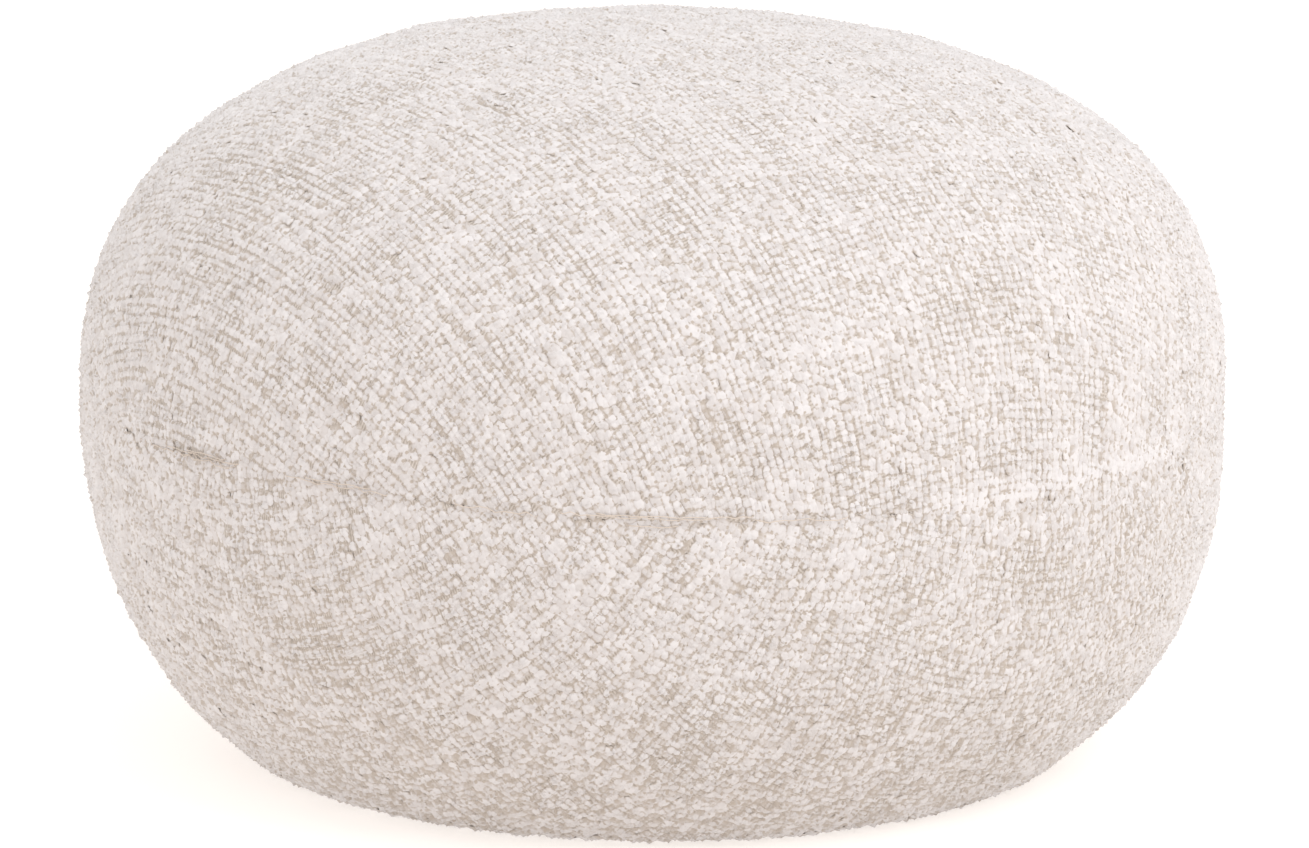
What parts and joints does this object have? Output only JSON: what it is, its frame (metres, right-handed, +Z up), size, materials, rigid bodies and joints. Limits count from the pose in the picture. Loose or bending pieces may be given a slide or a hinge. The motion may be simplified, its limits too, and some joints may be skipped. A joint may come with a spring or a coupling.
{
  "type": "pouf",
  "caption": "Round filled floor pouf with a full crown, a seam round its middle, drawn-in lower sides and a flat foot.",
  "frame": {"origin": "centre of the flat foot, on the floor", "axes": "+Z up through the crown, the pouf's shortest extent; -Y towards the front"},
  "size_m": [0.5519, 0.5506, 0.35],
  "materials": {
    "upper_cloth": "nubby looped pile, cream, matte",
    "lower_cloth": "nubby looped pile, cream, matte"
  },
  "bodies": {
    "root": {"upper_panel": "upper_cloth", "lower_panel": "lower_cloth"}
  },
  "joints": []
}
